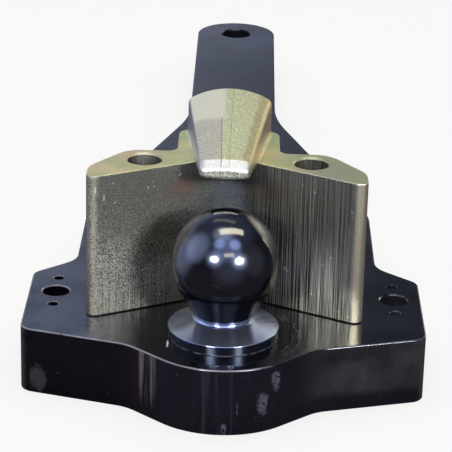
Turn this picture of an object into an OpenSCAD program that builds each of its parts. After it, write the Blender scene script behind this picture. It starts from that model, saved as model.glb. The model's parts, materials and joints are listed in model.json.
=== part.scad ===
// Ball hitch plate: a thick drawbar plate carrying a coupling ball and a V-shaped guide block
// whose beak reaches forward over the ball and holds the trailer's socket down.
// Millimetres. The origin is the centre of the ball, the drawbar tongue runs to +Y and +Z is up.

/* [Coupling ball] */
// Diameter of the ball
ball_d = 80; // [60:1:90]
// Height of the ball's centre above the plate
ball_rise = 58; // [54:1:70]
// Diameter at the foot of the neck, from where it widens as a cone until it touches the ball
neck_d = 43; // [38:1:50]
// Radius of the fillet where the neck runs into the collar
neck_fillet = 2.5; // [1:0.5:4]
// Diameter of the collar that sits on the plate
collar_d = 82.5; // [70:0.5:92]
// Height of the collar's straight rim
rim_h = 7.4; // [4:0.2:9]
// Height of the collar's cone above the rim
cone_h = 8.3; // [5:0.1:10]
// Diameter of the shank in the plate
shank_d = 40; // [32:1:44]
// Diameter of the thread that takes the nut
thread_d = 30; // [24:2:30]

/* [Ball nut and washer] */
// Width across the flats of the nut
nut_af = 46; // [40:1:50]
// Height of the nut
nut_h = 24; // [18:1:26]
// Outer diameter of the washer
washer_d = 56; // [50:1:60]
// Thickness of the washer
washer_t = 4; // [3:0.5:5]
// Diameter of the recess for the nut in the underside of the plate
recess_d = 70; // [64:1:80]
// Length of thread that stands out of the nut
thread_out = 1; // [0.5:0.5:2]
// Distance from the thread's end up to the level of the plate's underside
recess_spare = 2; // [1:0.5:4]

/* [Drawbar plate] */
// Thickness of the plate
plate_t = 52; // [46:1:60]
// Width across the two wings
wing_w = 304; // [290:1:330]
// Width of the body behind the wings
body_w = 240; // [232:1:250]
// Radius of the round nose, about the ball's axis
nose_r = 65; // [58:1:68]
// Angle of the nose's flanks to the X axis
nose_angle = 42; // [38:1:46]
// Distance from the ball's axis back to where the front edges of the wings would meet
wing_front = 44.4; // [40:0.2:48]
// Angle at which the front edges of the wings sweep back
wing_sweep = 16.4; // [12:0.2:20]
// Distance behind the ball's axis of the wings' rear corners
wing_back = 106.8; // [104:0.2:120]
// Angle of the wings' rear edges to the X axis
wing_back_angle = 42; // [36:1:50]
// Radius of the wings' outer corners
wing_corner_r = 12; // [6:1:18]
// Radius of the inner corners beside the nose
nose_blend_r = 35; // [15:1:50]
// Radius of the inner corners behind the wings
body_blend_r = 25; // [10:1:35]
// Distance behind the ball's axis where the body starts to narrow
taper_start = 251; // [200:1:300]
// Distance behind the ball's axis where the tongue gets its full narrowness
taper_end = 502; // [460:1:560]
// Radius of the corners at the start of the taper
taper_start_r = 80; // [20:5:120]
// Radius of the inner corners at the end of the taper
taper_end_r = 200; // [60:10:220]
// Width of the tongue
tongue_w = 82; // [74:1:90]
// Distance from the ball's axis to the drawbar pin's axis
pin_y = 785; // [700:5:850]
// Diameter of the drawbar pin's hole
pin_d = 31; // [25:0.5:40]
// Chamfer on the plate's holes
hole_chamfer = 1; // [0.5:0.25:1.5]

/* [Wing holes] */
// Distance from the wings' outer edges in to the wing holes
wing_hole_inset = 21; // [18:1:28]
// Distance behind the ball's axis of the wing holes
wing_hole_y = 71.5; // [66:0.5:76]
// Diameter of the wing bolt holes
wing_hole_d = 21; // [16:0.5:24]
// Diameter of the dowel holes on both sides of each wing bolt hole
dowel_d = 8; // [6:0.5:10]
// Distance between the two dowel holes of a pair
dowel_pitch = 50.5; // [46:0.5:54]
// Depth of the dowel holes
dowel_depth = 30; // [15:1:40]

/* [Guide block] */
// Height of the guide block
block_h = 113; // [100:1:125]
// Width over the tips of the guide block
block_w = 209; // [200:1:218]
// Distance from the ball's axis to the point where the V's two faces would meet
valley_y = 75; // [70:1:82]
// Angle of the V's faces to the X axis
vee_angle = 28; // [24:1:30]
// Radius of the rounded valley between the faces
valley_r = 34; // [10:1:40]
// Radius of the tips of the guide block
tip_r = 6; // [4:0.5:8]
// Distance behind the ball's axis where the sides of the tips end
tip_side_y = 46.5; // [44:0.5:54]
// Radius at the end of the tips' sides
tip_side_r = 25; // [10:1:30]
// Distance behind the ball's axis of the wings' back faces
block_back_y = 85.5; // [84:0.5:92]
// Half width over the outer ends of the wings' back faces
block_back_x = 76.8; // [75:0.2:82]
// Radius at the outer ends of the wings' back faces
block_back_r = 22; // [12:1:26]
// Distance from the middle to the guide block's bolt bores
block_bore_x = 63; // [60:1:66]
// Distance behind the ball's axis of the guide block's bolt bores
block_bore_y = 65; // [63:1:68]
// Diameter of the guide block's bolt bores
block_bore_d = 26; // [22:0.5:28]
// Chamfer on the guide block's bolt bores
block_bore_chamfer = 1.5; // [0.5:0.25:2]
// Width of the block's neck
block_neck_w = 78.6; // [72:0.2:88]
// Distance behind the ball's axis of the neck's back face
block_neck_y = 137.5; // [130:0.5:150]
// Radius of the neck's rear corners
block_neck_corner_r = 12; // [6:1:16]
// Radius of the inner corners between the wings and the neck
block_neck_fillet = 8; // [4:1:12]

/* [Beak] */
// Distance from the ball's axis to the beak's front face
beak_front = 28; // [22:1:36]
// Width of the beak at its front face
beak_front_w = 38; // [30:1:42]
// Width of the beak at its back
beak_back_w = 64.8; // [60:0.2:70]
// Depth by which the beak's underside reaches below the top of the block
beak_drop = 3; // [1:0.5:6]
// Height of the beak's front face
beak_face_h = 9.5; // [8:0.5:12]
// Size of the bevel above the front face
beak_bevel = 6.3; // [3:0.1:9]
// Height of the beak's back above the block
beak_back_h = 35.6; // [26:0.2:40]
// Radius of the crown across the beak's back
beak_back_crown = 60; // [45:1:100]
// Radius of the crown across the beak's nose
beak_nose_crown = 120; // [60:5:200]
// Radius of the beak's edges at the nose
beak_nose_r = 4.5; // [2:0.5:5]
// Radius of the beak's edges at the back
beak_back_r = 6; // [3:0.5:8]
// Radius of the edge under the beak's nose
beak_chin_r = 2.5; // [1:0.5:4]
// Radius of the fillet where the beak's flanks grow out of the block
beak_base_r = 4; // [2:0.5:5]

/* [Fits] */
// Radial clearance of the shank in the plate and of the washer and nut on the thread
fit_gap = 0.05; // [0.02:0.01:0.1]

/* [Hidden] */
$fn = 96;
hull_fn = 32;

ball_r = ball_d / 2;
plate_top = -ball_rise;
plate_bottom = plate_top - plate_t;
block_top = plate_top + block_h;
recess_h = washer_t + nut_h + thread_out + recess_spare;
web_bottom = plate_bottom + recess_h;
wing_hole_x = wing_w / 2 - wing_hole_inset;
cut = 1;

// Corners of the right half of the plate's outline, from the nose back to the tongue, with their radii
nose_apex_y = -nose_r / cos(nose_angle);
blend_x = (wing_front + nose_apex_y) / (tan(wing_sweep) - tan(nose_angle));
tongue_x = tongue_w / 2;
plate_corners = [
    [blend_x, blend_x * tan(wing_sweep) - wing_front, nose_blend_r],
    [wing_w / 2, wing_w / 2 * tan(wing_sweep) - wing_front, wing_corner_r],
    [wing_w / 2, wing_back, wing_corner_r],
    [body_w / 2, wing_back + (wing_w - body_w) / 2 * tan(wing_back_angle), body_blend_r],
    [body_w / 2, taper_start, taper_start_r],
    [tongue_x, taper_end, taper_end_r],
    [tongue_x, pin_y, 0],
];

function flat(p) = [p.x, p.y];
function unit(v) = v / norm(v);
function mirrored(points) = [for (i = [len(points) - 1:-1:0]) [-points[i].x, points[i].y, points[i].z]];

// A corner is [x, y, radius]. Its arc touches the sides towards the corners before and after it
function before(corners, i) = corners[(i + len(corners) - 1) % len(corners)];
function after(corners, i) = corners[(i + 1) % len(corners)];
function side_in(corners, i) = unit(flat(before(corners, i)) - flat(corners[i]));
function side_out(corners, i) = unit(flat(after(corners, i)) - flat(corners[i]));
function half_angle(corners, i) = acos(side_in(corners, i) * side_out(corners, i)) / 2;
function reach(corners, i) = corners[i].z / tan(half_angle(corners, i));
function touch_in(corners, i) = flat(corners[i]) + side_in(corners, i) * reach(corners, i);
function touch_out(corners, i) = flat(corners[i]) + side_out(corners, i) * reach(corners, i);
function arc_centre(corners, i) =
    flat(corners[i])
    + unit(side_in(corners, i) + side_out(corners, i)) * corners[i].z / sin(half_angle(corners, i));
function is_convex(corners, i) = cross(side_in(corners, i), side_out(corners, i)) < 0;

// An arc is a four-thousandth larger than its corner's radius, so that it crosses the sides
// cleanly where it would only touch them
arc_growth = 1 + 1 / 4000;

// Sector of a corner's circle from just before the arc to just after it
module corner_sector(corners, i) {
    centre = arc_centre(corners, i);
    middle = flat(corners[i]) - centre;
    half = 90 - half_angle(corners, i) + 5;
    translate(centre)
        rotate(atan2(middle.y, middle.x))
            intersection() {
                circle(corners[i].z * arc_growth);
                polygon([
                    [0, 0],
                    2 * corners[i].z * [cos(half), -sin(half)],
                    2 * corners[i].z * [1, -sin(half)],
                    2 * corners[i].z * [1, sin(half)],
                    2 * corners[i].z * [cos(half), sin(half)],
                ]);
            }
}

// Closed outline through the corners, anticlockwise, each rounded by an arc of its radius
module rounded_outline(corners) {
    last = len(corners) - 1;
    difference() {
        union() {
            polygon([
                for (i = [0:last])
                    each corners[i].z > 0
                        ? [touch_in(corners, i), touch_out(corners, i)]
                        : [flat(corners[i])]
            ]);
            for (i = [0:last]) if (corners[i].z > 0 && is_convex(corners, i)) corner_sector(corners, i);
        }
        for (i = [0:last]) if (corners[i].z > 0 && !is_convex(corners, i)) corner_sector(corners, i);
    }
}

// Round hole along Z from z0 up to z1 with a chamfer at the upper and, where asked, the lower mouth
module bored(d, z0, z1, chamfer, lower = true) {
    translate([0, 0, z0 - (lower ? cut : 0)]) cylinder(d = d, h = z1 - z0 + (lower ? 2 * cut : cut));
    translate([0, 0, z1 - chamfer])
        cylinder(d1 = d, d2 = d + 2 * (chamfer + cut), h = chamfer + cut);
    if (lower) {
        translate([0, 0, z0 - cut]) cylinder(d1 = d + 2 * (chamfer + cut), d2 = d, h = chamfer + cut);
    }
}

// Drawbar plate
module plate_outline() {
    rounded_outline(concat([[0, nose_apex_y, nose_r]], plate_corners, mirrored(plate_corners)));
    translate([0, pin_y]) circle(tongue_x * arc_growth);
}

module drawbar_plate() {
    color("#1b1c22")
    difference() {
        translate([0, 0, plate_bottom]) linear_extrude(plate_t) plate_outline();
        translate([0, pin_y, 0]) bored(pin_d, plate_bottom, plate_top, hole_chamfer);
        for (side = [-1, 1]) {
            translate([side * wing_hole_x, wing_hole_y, 0])
                bored(wing_hole_d, plate_bottom, plate_top, hole_chamfer);
            for (end = [-1, 1]) {
                translate([side * wing_hole_x, wing_hole_y + end * dowel_pitch / 2, 0])
                    bored(dowel_d, plate_top - dowel_depth, plate_top, hole_chamfer / 2, false);
            }
            translate([side * block_bore_x, block_bore_y, 0])
                bored(block_bore_d, plate_bottom, plate_top, hole_chamfer);
        }
        translate([0, 0, web_bottom - cut])
            cylinder(d = shank_d + 2 * fit_gap, h = plate_top - web_bottom + 2 * cut);
        translate([0, 0, plate_bottom - cut]) cylinder(d = recess_d, h = recess_h + cut);
    }
}

// Guide block: one casting with a V towards the ball, two bored wings, a neck behind and the beak on top
tip_x = block_w / 2;
block_corners = [
    [tip_x, valley_y - tip_x * tan(vee_angle), tip_r],
    [tip_x, tip_side_y, tip_side_r],
    [block_back_x, block_back_y, block_back_r],
    [block_neck_w / 2, block_back_y, block_neck_fillet],
    [block_neck_w / 2, block_neck_y, block_neck_corner_r],
];

module block_outline() {
    rounded_outline(concat([[0, valley_y, valley_r]], block_corners, mirrored(block_corners)));
}

beak_base = block_top - beak_drop;
face_top = beak_base + beak_face_h;
bevel_lift = beak_nose_r * tan(22.5);

module on_both_sides(x) {
    for (side = [-1, 1]) translate([side * x, 0, 0]) children();
}

// Rounded bar across the beak: half the given width, arched to the crown, with its top at z and its back at y
module crowned_edge(half_w, crown, r, y, z) {
    spine = crown - r;
    reach = half_w - r;
    half_turn = asin(reach / spine);
    translate([0, y, z - crown])
        rotate([90, 0, 0])
            rotate([0, 0, 90 - half_turn])
                rotate_extrude(angle = 2 * half_turn, $fn = 4 * hull_fn)
                    translate([spine, 0]) circle(r, $fn = hull_fn);
    translate([0, y, z - crown + sqrt(spine * spine - reach * reach)])
        on_both_sides(reach) sphere(r, $fn = hull_fn);
}

// Centres of the round vertical edges at the nose and at the back, and the flank that touches both
nose_half = beak_front_w / 2;
nose_y = beak_front + beak_nose_r;
back_y = block_neck_y - beak_back_r;
nose_edge = [nose_half - beak_nose_r, nose_y];
back_edge = [beak_back_w / 2 - beak_back_r, back_y];
flank = back_edge - nose_edge;
flank_angle = atan2(flank.y, flank.x) - 90 + asin((beak_back_r - beak_nose_r) / norm(flank));

module beak() {
    hull() {
        translate([0, 0, beak_base])
            mirror([0, 0, 1])
                crowned_edge(nose_half, beak_nose_crown, beak_chin_r, beak_front + beak_chin_r, 0);
        translate([0, nose_y, face_top - bevel_lift])
            on_both_sides(nose_edge.x) sphere(beak_nose_r, $fn = hull_fn);
        crowned_edge(nose_half, beak_nose_crown, beak_nose_r,
            nose_y + beak_bevel - bevel_lift, face_top + beak_bevel);
        translate([0, back_y, beak_base])
            on_both_sides(back_edge.x) cylinder(r = beak_back_r, h = cut, $fn = hull_fn);
        crowned_edge(beak_back_w / 2, beak_back_crown, beak_back_r, back_y, block_top + beak_back_h);
    }
}

// Fillet in the corner of two square faces along the axes. Its arc meets them at a small angle and
// the rest of the bar lies inside them
module fillet_profile(r) {
    inset = r / 80;
    difference() {
        translate([-r / 4, -r / 4]) square(r * 5 / 4);
        translate([r - inset, r - inset]) circle(r);
    }
}

// Fillet along the foot of both flanks, as far as the block carries them
module beak_fillets() {
    foot = back_edge + beak_back_r * [cos(flank_angle), sin(flank_angle)];
    intersection() {
        translate([0, 0, block_top - beak_base_r]) linear_extrude(3 * beak_base_r) block_outline();
        for (side = [0, 1]) {
            mirror([side, 0, 0])
                translate([foot.x, foot.y, block_top])
                    rotate([90, 0, flank_angle])
                        linear_extrude(norm(flank)) fillet_profile(beak_base_r);
        }
    }
}

module guide_block() {
    color("#b9a86a") {
        difference() {
            translate([0, 0, plate_top]) linear_extrude(block_h) block_outline();
            for (side = [-1, 1]) {
                translate([side * block_bore_x, block_bore_y, 0])
                    bored(block_bore_d, plate_top, block_top, block_bore_chamfer);
            }
        }
        beak();
        beak_fillets();
    }
}

// Coupling ball with neck, collar, shank and thread, turned as one piece
cone_top = plate_top + rim_h + cone_h;
shank_end = web_bottom + cut;
thread_end = plate_bottom + recess_spare;

// The neck's cone aims at a circle slightly smaller than the ball, so that it crosses the ball's
// surface cleanly where it would only touch it
touch_r = ball_r * (1 - 1 / 2000);
touch_angle = acos(touch_r / norm([neck_d / 2, cone_top])) - atan2(-cone_top, neck_d / 2);
stem_corners = [
    [0, thread_end, 0],
    [thread_d / 2, thread_end, 0],
    [thread_d / 2, shank_end, 0],
    [shank_d / 2, shank_end, 0],
    [shank_d / 2, plate_top, 0],
    [collar_d / 2, plate_top, 0],
    [collar_d / 2, plate_top + rim_h, 0],
    [neck_d / 2, cone_top, neck_fillet],
    [touch_r * cos(touch_angle), touch_r * sin(touch_angle), 0],
    [0, 0, 0],
];

module coupling_ball() {
    color("#15161c") {
        sphere(ball_r);
        rotate_extrude() rounded_outline(stem_corners);
    }
}

module ball_washer() {
    color("#9a9da3")
    translate([0, 0, web_bottom - washer_t])
        difference() {
            cylinder(d = washer_d, h = washer_t);
            translate([0, 0, -cut]) cylinder(d = thread_d + 2 * fit_gap, h = washer_t + 2 * cut);
        }
}

module ball_nut() {
    color("#8d9096")
    translate([0, 0, web_bottom - washer_t - nut_h])
        difference() {
            cylinder(d = nut_af / cos(30), h = nut_h, $fn = 6);
            translate([0, 0, -cut]) cylinder(d = thread_d + 2 * fit_gap, h = nut_h + 2 * cut);
        }
}

drawbar_plate();
guide_block();
coupling_ball();
ball_washer();
ball_nut();
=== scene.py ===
import json
import math

import bmesh
import bpy
from mathutils import Matrix, Vector


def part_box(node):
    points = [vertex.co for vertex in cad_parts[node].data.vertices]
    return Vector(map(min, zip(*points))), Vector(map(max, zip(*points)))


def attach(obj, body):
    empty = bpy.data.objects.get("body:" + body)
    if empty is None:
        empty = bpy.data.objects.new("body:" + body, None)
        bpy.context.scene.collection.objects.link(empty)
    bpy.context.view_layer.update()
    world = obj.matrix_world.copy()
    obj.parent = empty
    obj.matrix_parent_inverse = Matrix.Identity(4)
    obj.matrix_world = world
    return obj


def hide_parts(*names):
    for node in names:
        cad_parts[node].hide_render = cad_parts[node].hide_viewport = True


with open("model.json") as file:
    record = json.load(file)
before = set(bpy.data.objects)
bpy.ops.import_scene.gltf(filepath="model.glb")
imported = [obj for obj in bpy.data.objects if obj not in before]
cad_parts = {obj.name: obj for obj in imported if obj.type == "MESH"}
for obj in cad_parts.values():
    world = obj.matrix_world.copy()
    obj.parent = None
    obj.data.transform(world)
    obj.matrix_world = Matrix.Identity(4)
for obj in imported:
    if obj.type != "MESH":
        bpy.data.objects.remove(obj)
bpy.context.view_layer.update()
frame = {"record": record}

# Ball hitch plate: looks of the drawbar plate, the coupling ball and the guide block.
# Metres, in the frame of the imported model: the origin is the ball's centre, the tongue runs to +Y.

MM = 0.001

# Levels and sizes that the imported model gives
BALL_LOW, BALL_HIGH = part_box("coupling_ball")
PLATE_LOW, PLATE_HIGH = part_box("drawbar_plate")
BLOCK_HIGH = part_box("guide_block")[1]
WASHER_LOW, WASHER_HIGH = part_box("ball_washer")
NUT_LOW, NUT_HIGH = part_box("ball_nut")
MOUNTS = {mount["name"]: mount for mount in frame["record"]["mounts"]}
PLATE_TOP = PLATE_HIGH.z
PLATE_BOTTOM = PLATE_LOW.z
BALL_R = BALL_HIGH.z
BLOCK_HEIGHT = 0.113
BLOCK_TOP = PLATE_TOP + BLOCK_HEIGHT

CIRCLE_STEPS = 96
CREASE_ANGLE = math.radians(32)
FLAT_FACE_WEIGHT = 100
MERGE_DISTANCE = 1e-6


# Outlines. A corner is (x, y, radius) and each outline is smooth, so every point has one normal

def mirrored(corners):
    return [(-x, y, radius) for x, y, radius in reversed(corners)]


def corner_arc(last, corner, following, radius, step_deg=3.0):
    """Arc that rounds a corner: its points in the path's order, and their normals, which are the outward
    ones where the path runs anticlockwise."""
    here = Vector(corner)
    to_last = (Vector(last) - here).normalized()
    to_next = (Vector(following) - here).normalized()
    half = to_last.angle(to_next) / 2
    centre = here + (to_last + to_next).normalized() * radius / math.sin(half)
    side = 1 if to_last.cross(to_next) < 0 else -1
    first = here + to_last * radius / math.tan(half) - centre
    turn = side * (math.pi - 2 * half)
    steps = max(2, math.ceil(math.degrees(abs(turn)) / step_deg))
    points, normals = [], []
    for k in range(steps + 1):
        angle = math.atan2(first.y, first.x) + turn * k / steps
        ray = Vector((math.cos(angle), math.sin(angle)))
        points.append(centre + radius * ray)
        normals.append(side * ray)
    return points, normals


def rounded_outline(corners):
    """Points and outward normals of a closed anticlockwise outline whose corners are rounded by arcs."""
    points, normals = [], []
    for i, (x, y, radius) in enumerate(corners):
        last, following = corners[i - 1][:2], corners[(i + 1) % len(corners)][:2]
        arc_points, arc_normals = corner_arc(last, (x, y), following, radius)
        points += arc_points
        normals += arc_normals
    return points, normals


# Mesh building

def ring(bm, points, z):
    return [bm.verts.new((p.x, p.y, z)) for p in points]


def circle(x, y, radius, count=CIRCLE_STEPS):
    angles = (2 * math.pi * k / count for k in range(count))
    return [Vector((x + radius * math.cos(a), y + radius * math.sin(a))) for a in angles]


def bridge(bm, first, second):
    """Quads between two closed rings with as many points."""
    for i in range(len(first)):
        bm.faces.new((first[i - 1], first[i], second[i], second[i - 1]))


def edges_of(bm, verts):
    return [bm.edges.get((verts[i - 1], verts[i])) for i in range(len(verts))]


def edge_levels(top, bottom, top_r, bottom_r, steps=4):
    """(inset, z) of an upright wall's rings, with its upper and lower edges rounded."""
    quarter = [math.pi / 2 * k / steps for k in range(steps + 1)]
    upper = [(top_r * (1 - math.sin(a)), top - top_r * (1 - math.cos(a))) for a in quarter]
    lower = [(bottom_r * (1 - math.cos(a)), bottom + bottom_r * (1 - math.sin(a))) for a in quarter]
    return upper + lower


def prism(outline, levels, holes):
    """Plate of the outline's form. Each hole is (x, y, rings) with rings as (radius, z) from the top down.
    A hole whose last radius is 0 is blind."""
    bm = bmesh.new()
    points, normals = outline
    rings = [ring(bm, [p - inset * n for p, n in zip(points, normals)], z) for inset, z in levels]
    for upper, lower in zip(rings, rings[1:]):
        bridge(bm, upper, lower)
    top_edges, bottom_edges = edges_of(bm, rings[0]), edges_of(bm, rings[-1])
    for x, y, steps in holes:
        blind = steps[-1][0] == 0
        walls = [ring(bm, circle(x, y, radius), z) for radius, z in steps if radius > 0]
        for upper, lower in zip(walls, walls[1:]):
            bridge(bm, upper, lower)
        top_edges += edges_of(bm, walls[0])
        if blind:
            tip = bm.verts.new((x, y, steps[-1][1]))
            for i in range(len(walls[-1])):
                bm.faces.new((walls[-1][i - 1], walls[-1][i], tip))
        else:
            bottom_edges += edges_of(bm, walls[-1])
    for edges in (top_edges, bottom_edges):
        bmesh.ops.triangle_fill(bm, use_beauty=True, use_dissolve=False, edges=edges)
    bmesh.ops.recalc_face_normals(bm, faces=bm.faces)
    return bm


def through(x, y, radius, top, bottom, chamfer):
    """A hole for prism, chamfered at both ends."""
    return (x, y, [(radius + chamfer, top), (radius, top - chamfer),
                   (radius, bottom + chamfer), (radius + chamfer, bottom)])


def new_object(name, data):
    made = bpy.data.objects.new(name, data)
    bpy.context.scene.collection.objects.link(made)
    return made


def new_piece(name, bm, materials, slot, *nodes):
    """A smooth-shaded piece from bm that rides on the part and stands for the nodes."""
    mesh = bpy.data.meshes.new(name)
    bm.to_mesh(mesh)
    bm.free()
    piece = new_object(name, mesh)
    for material in materials:
        mesh.materials.append(material)
    finish_shading(piece)
    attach(piece, "root")
    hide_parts(*nodes)


def finish_shading(piece):
    """Smooth shading that keeps flat faces flat and creases sharp."""
    mesh = piece.data
    mesh.shade_smooth()
    mesh.set_sharp_from_angle(angle=CREASE_ANGLE)
    flatten = piece.modifiers.new("flat_faces", "WEIGHTED_NORMAL")
    flatten.keep_sharp = True
    flatten.weight = FLAT_FACE_WEIGHT


# Materials. The mix node's sockets for colours go by number

MIX_A = 6
MIX_B = 7
MIX_RESULT = 2
LINE_CORE = 0.3
WHITE = (1.0, 1.0, 1.0)


class Shader:
    """A material and its node tree, with short calls for the nodes that the finishes share."""

    def __init__(self, name):
        self.material = bpy.data.materials.new(name)
        self.material.use_nodes = True
        self.nodes = self.material.node_tree.nodes
        self.links = self.material.node_tree.links
        self.bsdf = self.nodes["Principled BSDF"]
        coordinates = self.node("TexCoord")
        self.place = coordinates.outputs["Object"]
        self.x, self.y, self.z = (self.axis(self.place, letter) for letter in "XYZ")
        self.to_back, self.up = (self.axis(coordinates.outputs["Normal"], letter) for letter in "YZ")

    def node(self, kind, **settings):
        made = self.nodes.new("ShaderNode" + kind)
        for setting, value in settings.items():
            setattr(made, setting, value)
        return made

    def put(self, socket, value):
        if isinstance(value, bpy.types.NodeSocket):
            self.links.new(value, socket)
        elif value is not None:
            socket.default_value = value

    def maths(self, operation, a, b=None, c=None):
        node = self.node("Math", operation=operation)
        for socket, value in zip(node.inputs, (a, b, c)):
            self.put(socket, value)
        return node.outputs[0]

    def axis(self, vector, letter):
        node = self.node("SeparateXYZ")
        self.put(node.inputs[0], vector)
        return node.outputs[letter]

    def span(self, value, low, high, to_low=0.0, to_high=1.0):
        """value from low..high onto to_low..to_high by a smooth step, held at both ends."""
        node = self.node("MapRange", interpolation_type="SMOOTHSTEP")
        for socket, number in zip(node.inputs, (value, low, high, to_low, to_high)):
            self.put(socket, number)
        return node.outputs[0]

    def stretched(self, scale, move=(0, 0, 0)):
        node = self.node("Mapping")
        self.put(node.inputs["Vector"], self.place)
        self.put(node.inputs["Scale"], scale)
        self.put(node.inputs["Location"], move)
        return node.outputs[0]

    def noise(self, scale, detail, roughness, vector=None):
        node = self.node("TexNoise")
        self.put(node.inputs["Vector"], vector or self.place)
        self.put(node.inputs["Scale"], scale)
        self.put(node.inputs["Detail"], detail)
        self.put(node.inputs["Roughness"], roughness)
        return node.outputs["Fac"]

    def lines(self, scale, detail, roughness):
        """Noise with its own scale along each axis."""
        return self.noise(1, detail, roughness, self.stretched(scale))

    def specks(self, scale, low, high):
        """1 in the small spots where a noise is above high, 0 where it is below low."""
        return self.span(self.noise(scale, 2, 0.5), low, high)

    def mix(self, share, a, b, blend="MIX"):
        node = self.node("Mix", data_type="RGBA", blend_type=blend)
        self.put(node.inputs[0], share)
        for socket, colour in ((node.inputs[MIX_A], a), (node.inputs[MIX_B], b)):
            self.put(socket, (*colour, 1) if isinstance(colour, tuple) else colour)
        return node.outputs[MIX_RESULT]

    def over(self, base, colour, *shares):
        """base with the colour laid over it, as strong as the product of the shares."""
        return self.mix(self.product(*shares), base, colour)

    def bump(self, height, distance, strength):
        node = self.node("Bump")
        self.put(node.inputs["Height"], height)
        self.put(node.inputs["Distance"], distance)
        self.put(node.inputs["Strength"], strength)
        self.put(self.bsdf.inputs["Normal"], node.outputs[0])

    def spot(self, centre_mm, size_mm, edge, wobble=None):
        """1 inside an ellipsoid about the centre with those half sizes, and 0 outside."""
        node = self.node("Mapping", vector_type="TEXTURE")
        self.put(node.inputs["Vector"], self.place)
        self.put(node.inputs["Location"], [value * MM for value in centre_mm])
        self.put(node.inputs["Scale"], [value * MM for value in size_mm])
        length = self.node("VectorMath", operation="LENGTH")
        self.put(length.inputs[0], node.outputs[0])
        reach = length.outputs["Value"]
        if wobble is not None:
            reach = self.maths("ADD", reach, self.maths("MULTIPLY_ADD", wobble, 2.0, -1.0))
        return self.span(reach, 1 + edge, 1 - edge)

    def line(self, value, place_mm, width_mm):
        """1 where value is at that place, 0 beyond the width on either side."""
        away = self.maths("ABSOLUTE", self.maths("SUBTRACT", value, place_mm * MM))
        return self.span(away, width_mm * MM, width_mm * MM * LINE_CORE)

    def inverse(self, share):
        return self.maths("SUBTRACT", 1.0, share)

    def product(self, first, *others):
        for other in others:
            first = self.maths("MULTIPLY", first, other)
        return first

    def most(self, first, *others):
        for other in others:
            first = self.maths("MAXIMUM", first, other)
        return first

    def finish(self, colour, roughness):
        self.put(self.bsdf.inputs["Base Color"], colour)
        self.put(self.bsdf.inputs["Roughness"], roughness)


# Black paint. Colours are linear, a pair runs from dark to pale, and a pair of places fades from 0 to 1

TOP_BLACK = ((0.0018, 0.0018, 0.0028), (0.0048, 0.0048, 0.0075))
WALL_BLACK = ((0.0076, 0.0070, 0.0128), (0.0195, 0.0182, 0.0300))
FLAT_UP = (0.95, 0.99)
WALL_UP = (0.3, 0.1)

# Dirt with a painted sheen: the cloudy slate blue on the plate's top also stands for reflected light on the
# gloss
WING_DUST_SHEEN = (0.085, 0.104, 0.160)
BODY_DUST_SHEEN = (0.026, 0.032, 0.054)
TONGUE_DUST_SHEEN = (0.100, 0.118, 0.175)
LEFT_WING_X = (-0.060, -0.110)
BEHIND_BLOCK_Y = (0.15, 0.25)
BODY_DUST_SHEEN_Y = (0.10, 0.25)
TONGUE_DUST_SHEEN_Y = (0.62, 0.80)
PALE_SPECK = (0.16, 0.16, 0.18)

SCORED_RINGS_MM = ((52.0, 0.35), (55.5, 0.30), (57.8, 0.25))
SCORED_X = (0.036, 0.050)
MARK_GREY = (0.20, 0.20, 0.22)
CHIP_MM = ((-40.6, -21.5, -58), (0.8, 6.0, 2))
CHIP_STEEL = (0.75, 0.74, 0.80)

RIGHT_GREY = (0.064, 0.062, 0.072)
RIGHT_GREY_X = (0.050, 0.095)
RIGHT_GREY_Z = (-0.101, -0.093)
SHADED_BLACK = (0.0012, 0.0010, 0.0016)
SHADED_X = (-0.060, -0.085)
PATCH_GREY = (0.062, 0.062, 0.070)
PATCH_MM = ((-138, -4, -98), (5.8, 6, 9.5))
FRONT_Y = (0.01, 0.0)
RIDGE_PINK = (0.140, 0.122, 0.145)
RIDGE_LEFT_X = (-0.0625, -0.0600)
RIDGE_RIGHT_X = (-0.0470, -0.0495)
RIDGE_Z = (-0.106, -0.082)
STREAK_VIOLET = (0.034, 0.031, 0.048)
STREAK_LEFT_X = (-0.030, -0.010)
STREAK_RIGHT_X = (0.026, 0.010)
# Painted reflection: the thin red upright line on the front wall is a red rack mirrored in the paint
RED_REFLECTION = (0.030, 0.010, 0.010)
RED_REFLECTION_MM = (-64.0, 1.8)
SCUFF_LAVENDER = (0.155, 0.145, 0.205)
SCUFFS_MM = (
    ((39.6, -51.5, -70.4), (3.4, 6, 6.8)),
    ((30.5, -57.7, -87.0), (4.0, 6, 9.5)),
    ((2.6, -65.0, -105.0), (1.6, 4, 4.2)),
)
SCRATCH_MM = ((12.0, -64.0, -89.0), (0.5, 4, 5.0))
RUBBED_GREY = (0.055, 0.052, 0.056)
RUBBED_X = (0.1465, 0.1500)
RUBBED_Y = (0.030, 0.010)
PIT_GREY = (0.10, 0.10, 0.11)

# The pale line on the top edge's rounding is worn paint and a painted highlight
WORN_STEEL_AND_HIGHLIGHT = ((0.10, 0.10, 0.13), (0.40, 0.39, 0.47))
EDGE_LINE_Z = (PLATE_TOP - 0.0018, PLATE_TOP - 0.0010)
EDGE_LINE_Y = (0.14, 0.10)
NICK_X = (0.0278, 0.0290)
DULLED = 0.12


def dust_and_sheen_top(s, base, flat, clouds):
    """Cloudy slate blue on the left wing and on the tongue, partly dirt and partly a painted sheen of
    reflected light, and pale specks. Gives the share of that cloud too.
    """
    dust_and_sheen = s.product(flat, s.span(clouds, 0.24, 0.78),
                      s.most(s.span(s.x, *LEFT_WING_X), s.span(s.y, *BEHIND_BLOCK_Y)))
    dust_sheen = s.mix(s.span(s.y, *TONGUE_DUST_SHEEN_Y), BODY_DUST_SHEEN, TONGUE_DUST_SHEEN)
    dust_sheen = s.mix(s.span(s.y, *BODY_DUST_SHEEN_Y), WING_DUST_SHEEN, dust_sheen)
    base = s.over(base, dust_sheen, dust_and_sheen, 0.8)
    return s.over(base, PALE_SPECK, flat, s.specks(520, 0.70, 0.74), 0.5), dust_and_sheen


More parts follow.
